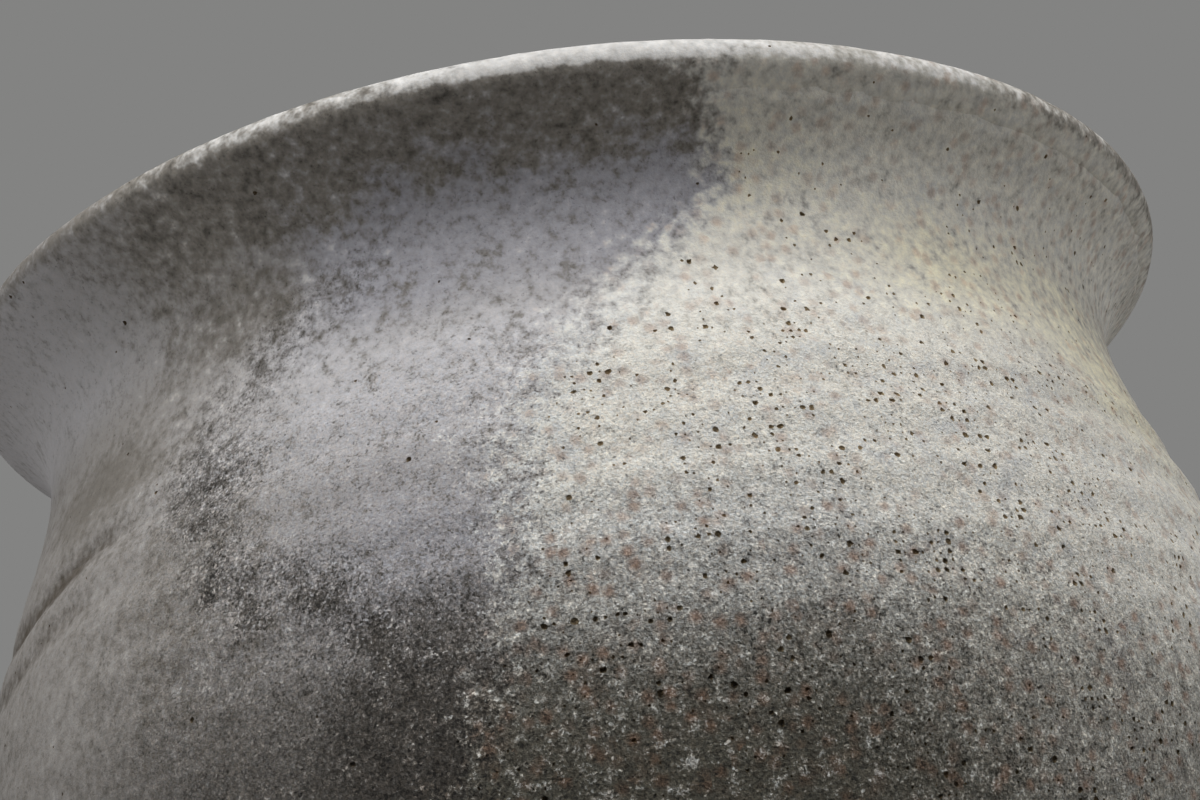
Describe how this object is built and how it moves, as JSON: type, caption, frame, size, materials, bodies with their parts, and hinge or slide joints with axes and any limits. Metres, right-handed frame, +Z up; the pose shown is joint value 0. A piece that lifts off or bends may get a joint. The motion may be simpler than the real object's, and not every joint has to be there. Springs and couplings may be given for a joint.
{
  "type": "stoneware bowl",
  "caption": "Deep round stoneware bowl with a waisted neck, flared round lip, luted foot ring and a crust of fused wood ash on one side.",
  "frame": {"origin": "centre of the foot ring's standing face", "axes": "+Z up along the bowl's axis of turning; the pictured side faces -Y"},
  "size_m": [0.1501, 0.1501, 0.132],
  "materials": {
    "foot_ring": "bare fired stoneware, matte and gritty",
    "foot_joint_slip": "fired clay slip, matte",
    "body": "wood-fired stoneware, violet-grey to brown, matte, pitted",
    "collar_joint_slip": "fired clay slip, matte",
    "neck_collar": "wood-fired stoneware, flashed dark under the lip, matte, pitted",
    "ash_glaze_crust": "dry natural ash glaze, cream to olive, rough"
  },
  "bodies": {
    "root": {"foot_ring": "foot_ring", "foot_joint_slip": "foot_joint_slip", "body": "body", "collar_joint_slip": "collar_joint_slip", "neck_collar": "neck_collar", "ash_glaze_crust": "ash_glaze_crust"}
  },
  "joints": []
}
